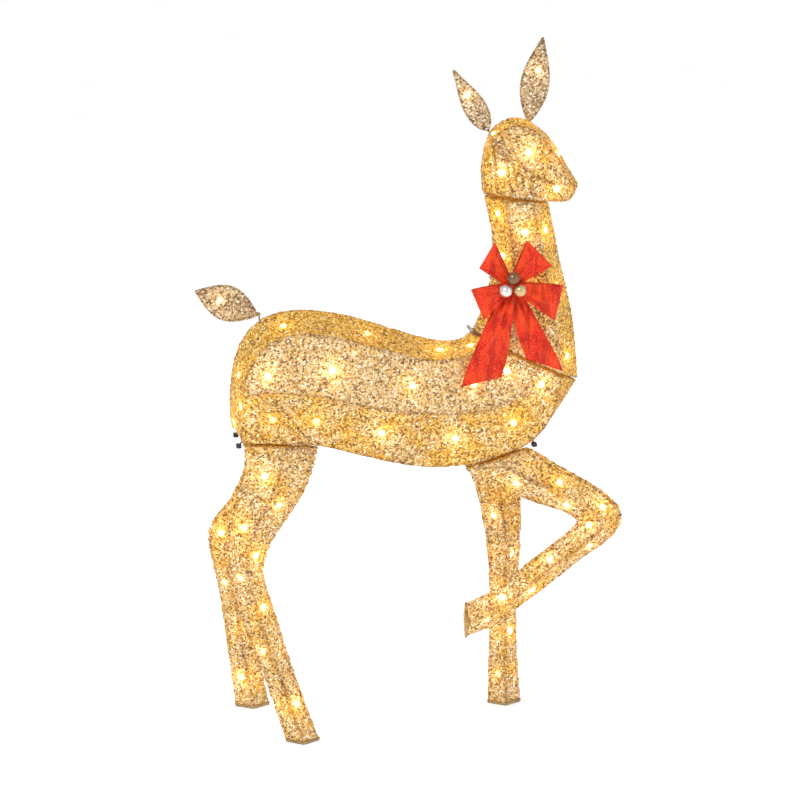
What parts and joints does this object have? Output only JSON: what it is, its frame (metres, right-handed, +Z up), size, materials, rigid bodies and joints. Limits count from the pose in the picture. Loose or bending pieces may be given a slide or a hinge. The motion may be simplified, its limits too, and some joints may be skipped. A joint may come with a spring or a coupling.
{
  "type": "light up yard reindeer",
  "caption": "Standing doe yard decoration of wire frames under gold thread covers, with lamps inside, plug-in legs, a fold-down neck, a lifted front leg and a red bow.",
  "frame": {"origin": "on the ground below the middle of the whole figure, in the median plane", "axes": "+Z up, +X towards the head, -Y is the doe's right side, which carries the bow and the lifted front leg"},
  "size_m": [0.8059, 0.26, 1.3195],
  "materials": {
    "gold_thread": "wound glitter thread, slightly see-through",
    "pale_thread": "wound glitter thread, champagne",
    "frame_wire": "gold powder coat",
    "cord": "clear gold insulation",
    "lamp_lens": "clear moulded, warm white",
    "red_ribbon": "glitter ribbon with wired edge",
    "silver_ball": "satin metallic",
    "gold_ball": "satin metallic",
    "bronze_ball": "satin metallic",
    "black_plastic": "moulded",
    "zinc_steel": "zinc plated",
    "pad_rubber": "moulded"
  },
  "bodies": {
    "neck": {"bow_centre_wrap": "red_ribbon", "bow_lower_loops": "red_ribbon", "bow_tails": "red_ribbon", "bow_tie_wire": "frame_wire", "bow_upper_loops": "red_ribbon", "bronze_bauble": "bronze_ball", "gold_bauble": "gold_ball", "neck_cover": "gold_thread", "neck_frame": "frame_wire", "neck_hinge_leaf": "zinc_steel", "neck_lamps": "lamp_lens", "neck_light_string": "cord", "silver_bauble": "silver_ball"},
    "head": {"ear_sockets": "zinc_steel", "head_cover": "gold_thread", "head_frame": "frame_wire", "head_lamps": "lamp_lens", "head_light_string": "cord"},
    "left_ear": {"left_ear_cover": "pale_thread", "left_ear_frame": "frame_wire", "left_ear_lamp": "lamp_lens"},
    "left_front_leg": {"left_front_leg_cover": "gold_thread", "left_front_leg_foot_plate": "zinc_steel", "left_front_leg_frame": "frame_wire", "left_front_leg_lamps": "lamp_lens", "left_front_leg_light_string": "cord"},
    "left_hind_leg": {"left_hind_leg_cover": "gold_thread", "left_hind_leg_foot_plate": "zinc_steel", "left_hind_leg_frame": "frame_wire", "left_hind_leg_lamps": "lamp_lens", "left_hind_leg_light_string": "cord"},
    "torso": {"leg_clips": "black_plastic", "neck_hinge_pin": "zinc_steel", "neck_rest_pads": "pad_rubber", "supply_lead": "black_plastic", "supply_plug": "black_plastic", "tail_bracket": "zinc_steel", "tail_pin": "zinc_steel", "torso_cover": "gold_thread", "torso_frame": "frame_wire", "torso_hinge_leaf": "zinc_steel", "torso_lamps": "lamp_lens", "torso_light_string": "cord"},
    "right_ear": {"right_ear_cover": "pale_thread", "right_ear_frame": "frame_wire", "right_ear_lamp": "lamp_lens"},
    "right_front_leg": {"right_front_leg_cover": "gold_thread", "right_front_leg_frame": "frame_wire", "right_front_leg_lamps": "lamp_lens", "right_front_leg_light_string": "cord"},
    "right_hind_leg": {"right_hind_leg_cover": "gold_thread", "right_hind_leg_foot_plate": "zinc_steel", "right_hind_leg_frame": "frame_wire", "right_hind_leg_lamps": "lamp_lens", "right_hind_leg_light_string": "cord"},
    "tail": {"tail_cover": "pale_thread", "tail_frame": "frame_wire", "tail_lamp": "lamp_lens"}
  },
  "joints": [
    {"name": "neck_fold", "type": "hinge", "parent": "torso", "child": "neck", "pos_m": [0.1147, 0, 0.7743], "axis": [0, 1, 0], "range_deg": [-75, 0]},
    {"name": "head_lift", "type": "slide", "parent": "neck", "child": "head", "axis": [0, 0, 1], "range_m": [0, 0.04]},
    {"name": "right_ear_swivel", "type": "hinge", "parent": "head", "child": "right_ear", "pos_m": [0.1395, -0.038, 1.16], "axis": [-0.5105, -0.1238, 0.8509], "range_deg": [-60, 60]},
    {"name": "left_ear_swivel", "type": "hinge", "parent": "head", "child": "left_ear", "pos_m": [0.2275, 0.02, 1.168], "axis": [0.1819, 0.13, 0.9747], "range_deg": [-60, 60]},
    {"name": "tail_tilt", "type": "hinge", "parent": "torso", "child": "tail", "pos_m": [-0.2885, 0, 0.814], "axis": [0, 1, 0], "range_deg": [-35, 30]},
    {"name": "right_hind_leg_plug", "type": "slide", "parent": "torso", "child": "right_hind_leg", "axis": [0, 0, -1], "range_m": [0, 0.05]},
    {"name": "left_hind_leg_plug", "type": "slide", "parent": "torso", "child": "left_hind_leg", "axis": [0, 0, -1], "range_m": [0, 0.05]},
    {"name": "right_front_leg_plug", "type": "slide", "parent": "torso", "child": "right_front_leg", "axis": [0, 0, -1], "range_m": [0, 0.05]},
    {"name": "left_front_leg_plug", "type": "slide", "parent": "torso", "child": "left_front_leg", "axis": [0, 0, -1], "range_m": [0, 0.05]}
  ]
}
